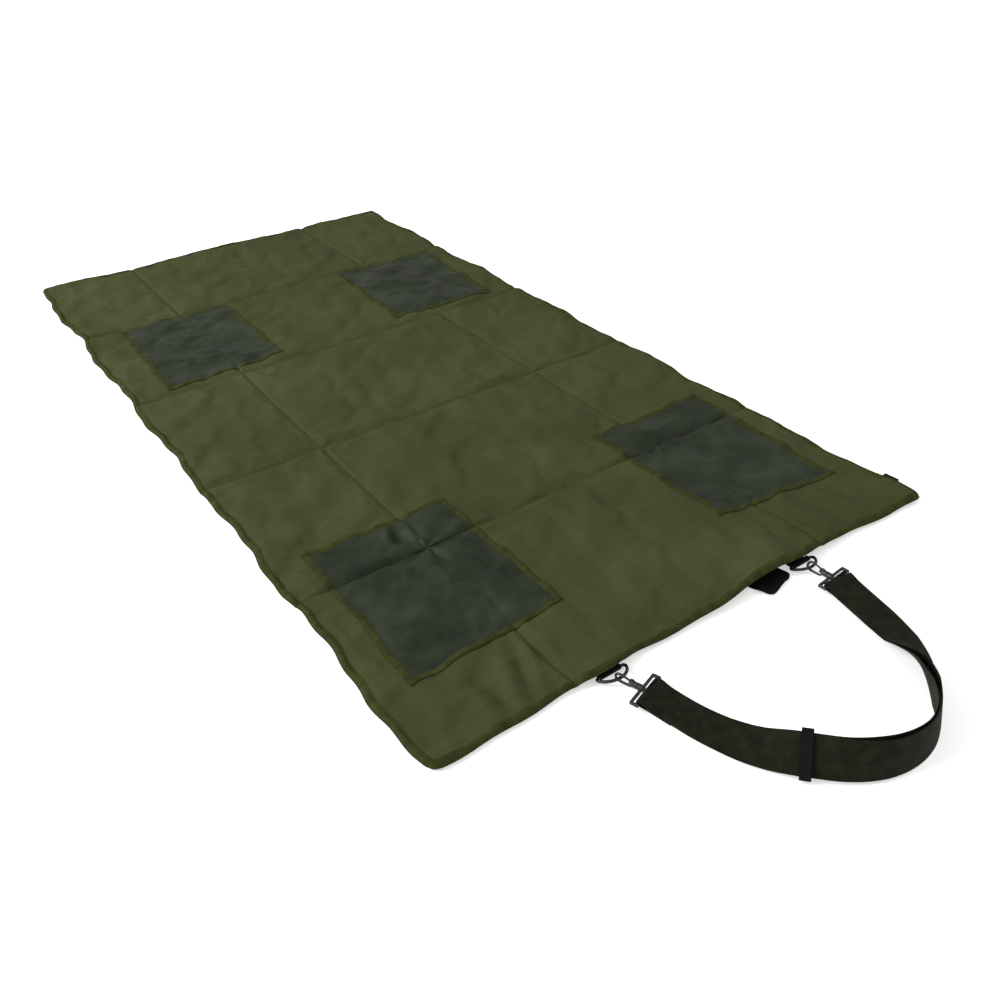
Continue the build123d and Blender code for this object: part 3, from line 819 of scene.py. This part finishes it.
strapRoute = [
    (-0.156, nearEdge - 0.112, 0.0046, 1),
    (-0.142, nearEdge - 0.158, 0.0044, 7),
    (-0.126, nearEdge - 0.203, 0.0112, 20),
    (-0.102, nearEdge - 0.246, 0.0246, 45),
    (-0.068, nearEdge - 0.284, 0.0258, 64),
    (-0.022, nearEdge - 0.310, 0.0262, 76),
    (0.026, nearEdge - 0.316, 0.0262, 80),
    (0.064, nearEdge - 0.303, 0.0262, 80),
    (0.094, nearEdge - 0.278, 0.0262, 78),
    (0.118, nearEdge - 0.250, 0.0246, 64),
    (0.140, nearEdge - 0.221, 0.0170, 32),
    (0.158, nearEdge - 0.188, 0.0076, 8),
    (0.170, nearEdge - 0.148, 0.0062, 1),
    (0.178, nearEdge - 0.106, 0.0070, 0),
]
leftEnd, leftAim = hookEnd("left")
rightEnd, rightAim = hookEnd("right")
routePoints = np.array([leftEnd.tolist()] + [list(p[:3]) for p in strapRoute] + [rightEnd.tolist()])
routeRolls = np.array([0] + [p[3] for p in strapRoute] + [0], float)


def smoothLine(points, resolution=24):
    # the points as control points of one open NURBS curve, read back as a fine line
    curve = bpy.data.curves.new("routeLine", "CURVE")
    curve.dimensions = "3D"
    spline = curve.splines.new("NURBS")
    spline.points.add(len(points) - 1)
    flat = np.concatenate([points, np.ones((len(points), 1))], axis=1)
    spline.points.foreach_set("co", flat.ravel())
    spline.order_u = 3
    spline.use_endpoint_u = True
    spline.resolution_u = resolution
    o = bpy.data.objects.new("routeLine", curve)
    mesh = bpy.data.meshes.new_from_object(o)
    line = np.zeros(len(mesh.vertices) * 3)
    mesh.vertices.foreach_get("co", line)
    bpy.data.objects.remove(o)
    bpy.data.curves.remove(curve)
    bpy.data.meshes.remove(mesh)
    return line.reshape(-1, 3)


def unit(v):
    return v / np.linalg.norm(v, axis=-1, keepdims=True)


def lineFrames(line):
    # direction along, level direction across it and the third one, at each point of a line
    along = unit(np.gradient(line, axis=0))
    across = unit(np.cross(along, np.array([0.0, 0.0, 1.0])))
    normal = np.cross(across, along)
    return along, across, normal


def tapeSection(width, thick, count=26):
    # outline of flat webbing: a rounded rectangle, slightly thinner at its woven edges; points (across, up)
    half = width / 2 - thick / 2
    flatTop = np.linspace(-half, half, count)
    edge = np.linspace(np.pi / 2, -np.pi / 2, 5)[1:-1]
    swell = 1 - 0.25 * (np.abs(flatTop) / half) ** 8
    top = np.stack([flatTop, thick / 2 * swell], -1)
    right = np.stack([half + thick / 2 * np.cos(edge), thick / 2 * 0.75 * np.sin(edge)], -1)
    bottom = np.stack([flatTop[::-1], -thick / 2 * swell[::-1]], -1)
    left = np.stack([-half - thick / 2 * np.cos(edge), -thick / 2 * 0.75 * np.sin(edge)], -1)
    return np.concatenate([top, right, bottom, left])


def sweepTape(name, line, across, normal, width, thick, material):
    # carries the webbing's outline along a line with given side and up directions; UV in metres
    section = tapeSection(width, thick)
    points = line[:, None] + section[None, :, 0, None] * across[:, None]
    points = points + section[None, :, 1, None] * normal[:, None]
    n, k = points.shape[:2]
    distance = np.concatenate([[0], np.cumsum(np.linalg.norm(np.diff(line, axis=0), axis=1))])
    uv = np.stack(np.broadcast_arrays(section[None, :, 0], distance[:, None]), -1).reshape(-1, 2)
    faces = gridFaces(n, k, closeAcross=True)
    points = np.concatenate([points.reshape(-1, 3), [line[0], line[-1]]])
    uv = np.concatenate([uv, [[0, 0], [0, distance[-1]]]])
    i = np.arange(k)
    last = (n - 1) * k
    ends = [np.stack([np.roll(i, -1), i, np.full(k, n * k)], -1)]  # fans that close both ends
    ends.append(np.stack([last + i, last + np.roll(i, -1), np.full(k, n * k + 1)], -1))
    o = addMesh(name, points, faces.tolist() + [f for e in ends for f in e.tolist()], uv, (material,))
    outwards(o.data)
    return o


def outwards(mesh):
    # turns the faces of a closed skin outwards
    b = bmesh.new()
    b.from_mesh(mesh)
    bmesh.ops.recalc_face_normals(b, faces=b.faces)
    b.to_mesh(mesh)
    b.free()


strapLine = smoothLine(routePoints)
controlAt = np.concatenate([[0], np.cumsum(np.linalg.norm(np.diff(routePoints, axis=0), axis=1))])
lineAt = np.concatenate([[0], np.cumsum(np.linalg.norm(np.diff(strapLine, axis=0), axis=1))])
countAt = np.interp(lineAt / lineAt[-1], controlAt / controlAt[-1], np.arange(len(routePoints)))
rollAt = np.radians(np.interp(countAt, np.arange(len(routePoints)), routeRolls))
along, across, normal = lineFrames(strapLine)
c, s = np.cos(rollAt)[:, None], np.sin(rollAt)[:, None]
across, normal = across * c - normal * s, normal * c + across * s

# the two layers part a little round the bend and run over and under the bar at the right hook
fromLeft, fromRight = lineAt, lineAt[-1] - lineAt
layerGap = strap["gap"] + strap["open"] * (bump(countAt, 5.6, 1.1) + bump(countAt, 9.6, 1.0))
layerGap += (2 * strap["barRadius"] - layerGap) * np.exp(-((fromRight / 0.014) ** 2))
isDouble = soften((countAt - strap["doubledFrom"] + 0.7) / 0.9)
overBar = strap["barRadius"] * np.exp(-((fromLeft / 0.012) ** 2))
mainLine = strapLine + normal * (0.5 * layerGap * isDouble + overBar)[:, None]
mainStrap = sweepTape("strap_webbing", mainLine, across, normal, strap["width"], strap["thick"], strapWebbing)
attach(mainStrap, "strap")
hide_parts("shoulder_strap")

inSpan = countAt > strap["doubledFrom"]
innerLine = strapLine[inSpan] - normal[inSpan] * 0.5 * layerGap[inSpan, None]
innerWidth = strap["width"] * 0.985
secondLayer = sweepTape(
    "strap_inner_layer", innerLine, across[inSpan], normal[inSpan], innerWidth, strap["thick"], strapWebbing
)
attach(secondLayer, "strap")


def strapTurn(hand, end, aim):
    # half a turn of webbing over a frame's bar; on the left it runs on under the strap, where it is sewn down
    aim = unit(aim)
    side = unit(np.cross(aim, np.array([0.0, 0.0, 1.0])))
    up = np.cross(side, aim)
    angle = np.linspace(np.pi / 2, -np.pi / 2, 16)
    line = end + strap["barRadius"] * (np.cos(angle)[:, None] * aim + np.sin(angle)[:, None] * up)
    if hand == "left":
        span = (fromLeft > strap["lap"][0]) & (fromLeft < strap["lap"][1])
        under = strapLine[span] - normal[span] * strap["gap"] * 0.95
        line = np.concatenate([line, under])
    flow = unit(np.gradient(line, axis=0))
    sides = np.repeat(side[None], len(line), axis=0)
    ups = unit(np.cross(sides, flow))
    o = sweepTape(f"strap_turn_{hand}", line, sides, ups, strap["width"] * 0.99, strap["thick"], strapWebbing)
    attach(o, "strap")
    return o


turns = [strapTurn("left", leftEnd, leftAim), strapTurn("right", rightEnd, rightAim)]
print("strap made")


# ring tabs: black webbing folded round each ring's bar and sewn under the mat
ringTab = {"width": 0.034, "thick": 0.0013, "barRadius": 0.0022, "length": 0.040}


def makeRingTab(hand):
    # the tape's line runs out under the mat, round the bar and back above it for a short way
    j = joints[f"ring_{hand}_swing"]
    bar = np.array(j["pos_m"])
    r = ringTab["barRadius"] + ringTab["thick"] / 2 + 0.0002
    angle = np.linspace(-np.pi / 2, -1.5 * np.pi, 18)
    turn = np.stack([0 * angle, r * np.cos(angle), r * np.sin(angle)], -1) + bar
    below = bar + np.array([[0, ringTab["length"], -r], [0, ringTab["length"] / 2, -r], [0, 0.003, -r]])
    above = bar + np.array([[0, 0.003, r * 0.92], [0, 0.0035, r * 0.86]])
    line = np.concatenate([below, turn, above])
    sides = np.repeat(np.array([[1.0, 0, 0]]), len(line), axis=0)
    ups = unit(np.cross(sides, unit(np.gradient(line, axis=0))))
    o = sweepTape(f"ring_webbing_{hand}", line, sides, ups, ringTab["width"], ringTab["thick"], blackWebbing)
    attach(o, "row_1")
    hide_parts(f"ring_tab_{hand}")


for hand in ("left", "right"):
    makeRingTab(hand)


# closing tab: black coated cloth with a stitched hem and rounded corners, lying askew under the strap end
closing = {
    "x": 0.112,
    "width": 0.062,
    "length": 0.095,
    "turn": 14.0,  # degrees
    "out": 0.022,  # how far it reaches past the edge
    "thick": 0.0016,
    "corner": 0.010,
}


def makeClosingTab():
    # a rectangle whose two outer corners are rounded, turned and moved, a little wavy, thicker at its hem
    half, long = closing["width"] / 2, closing["length"] / 2
    s = np.linspace(-1, 1, 30)
    t = np.linspace(-1, 1, 44)
    ss, tt = np.meshgrid(s, t)
    inX = half - half * np.abs(ss)
    inY = long + long * tt
    cornerIn = np.clip(1 - inY / closing["corner"], 0, 1)
    narrow = closing["corner"] * (1 - np.sqrt(1 - cornerIn**2))
    x = ss * (half - narrow)
    y = tt * long
    hem = soften((0.0065 - np.minimum(inX, inY)) / 0.0015)
    stitch = bump(np.minimum(inX, inY), 0.0052, 0.0008)
    high = closing["thick"] + 0.0005 * hem - 0.0004 * stitch
    turn = math.radians(closing["turn"])
    px = closing["x"] + x * math.cos(turn) - y * math.sin(turn)
    py = nearEdge - closing["out"] + long + x * math.sin(turn) + y * math.cos(turn)
    outside = soften((nearEdge + 0.004 - py) / 0.02)
    lift = 0.0015 * outside * (1 + np.sin(px * 160))
    top = np.stack([px, py, 0.0003 + lift + high], -1)
    bottom = np.stack([px, py, 0.0003 + lift], -1)
    points, faces, counts = closedPad(top, bottom, [])
    uv = np.stack([x.ravel(), y.ravel()], -1)
    o = addMesh("closing_tab_cloth", points, faces, np.concatenate([uv, uv]), (blackWebbing,))
    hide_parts("closing_tab_base", "closing_tab_end")
    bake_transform(o)


makeClosingTab()


# blank label: a folded strip of black satin caught in the right edge
label = {"out": 0.0145, "thick": 0.0009, "rise": 0.0046}


def makeLabel():
    # a loop of tape seen from its side: thin sheet with a rounded fold at its outer end
    low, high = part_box("label_tab")
    y = np.linspace(low[1], high[1], 12)
    a = np.linspace(0, 1, 12)
    yy, aa = np.meshgrid(y, a, indexing="ij")
    x = mat["halfWidth"] - 0.004 + aa * (label["out"] + 0.004)
    swell = label["thick"] * (0.5 + 0.6 * np.sin(np.pi * aa)) * np.sqrt(np.clip(1.0 - aa**6, 0.04, 1))
    middle = (low[2] + high[2]) / 2 + 0.0004 * np.sin((yy - low[1]) * 240)
    middle = middle + label["rise"] * soften(aa * 1.4)
    top = np.stack([x, yy, middle + swell], -1)
    bottom = np.stack([x, yy, middle - swell], -1)
    points, faces, counts = closedPad(np.swapaxes(top, 0, 1), np.swapaxes(bottom, 0, 1), [])
    flat = np.stack([x.T.ravel(), yy.T.ravel()], -1)
    faces = faces[:, ::-1]
    o = addMesh("blank_label", points, faces, np.concatenate([flat, flat]), (blackWebbing,))
    outwards(o.data)
    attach(o, "side_right_1")
    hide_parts("label_tab")


makeLabel()

for name in nodes:
    if name.startswith(("d_ring", "snap_hook", "gate", "hook_frame", "strap_slider")):
        o = nodes[name]
        o.data.materials.clear()
        o.data.materials.append(sliderPlastic if name == "strap_slider" else hardware)
print("hardware finished")


# floor, light and camera
def makeFloor():
    o = addMesh(
        "floor",
        np.array([[-8, -8, -0.0004], [8, -8, -0.0004], [8, 8, -0.0004], [-8, 8, -0.0004]], float),
        np.array([[0, 1, 2, 3]]),
        materials=(studioFloor(),),
        smooth=False,
    )


def areaLight(name, place, target, size, power, colour):
    light = bpy.data.lights.new(name, "AREA")
    light.shape, light.size, light.energy, light.color = "SQUARE", size, power, linear(colour)[:3]
    o = bpy.data.objects.new(name, light)
    o.location = place
    o.rotation_euler = (Vector(target) - Vector(place)).to_track_quat("-Z", "Y").to_euler()
    bpy.context.scene.collection.objects.link(o)


makeFloor()
areaLight("keySoftbox", (-2.8, 0.9, 2.4), (0, 0, 0), 1.8, 125, "#ffffff")
areaLight("fillSoftbox", (2.4, -2.0, 3.0), (0, -0.3, 0), 2.6, 14, "#ffffff")
world = bpy.data.worlds.new("studioAir")
world.use_nodes = True
world.node_tree.nodes["Background"].inputs["Color"].default_value = linear("#ffffff")
world.node_tree.nodes["Background"].inputs["Strength"].default_value = 0.60
bpy.context.scene.world = world
bpy.context.scene.view_settings.view_transform = "Standard"

cameraSet = {
    "place": (-0.7673, -1.4984, 0.876),
    "azimuth": 34.47,
    "down": 35.435,
    "roll": -1.685,
    "lens": 33.87,
}


def makeCamera():
    # looks along azimuth (from +Y towards +X) and down from level, rolled about its own axis
    data = bpy.data.cameras.new("camera")
    data.lens, data.sensor_width = cameraSet["lens"], 36
    data.clip_start, data.clip_end = 0.01, 50
    a, d, r = (math.radians(cameraSet[k]) for k in ("azimuth", "down", "roll"))
    forward = Vector((math.sin(a) * math.cos(d), math.cos(a) * math.cos(d), -math.sin(d)))
    right = forward.cross(Vector((0, 0, 1))).normalized()
    up = right.cross(forward)
    rightTurned = right * math.cos(r) + up * math.sin(r)
    upTurned = up * math.cos(r) - right * math.sin(r)
    o = bpy.data.objects.new("camera", data)
    m = Matrix((rightTurned, upTurned, -forward)).transposed().to_4x4()
    m.translation = Vector(cameraSet["place"])
    o.matrix_world = m
    bpy.context.scene.collection.objects.link(o)
    bpy.context.scene.camera = o


makeCamera()
print("scene done")
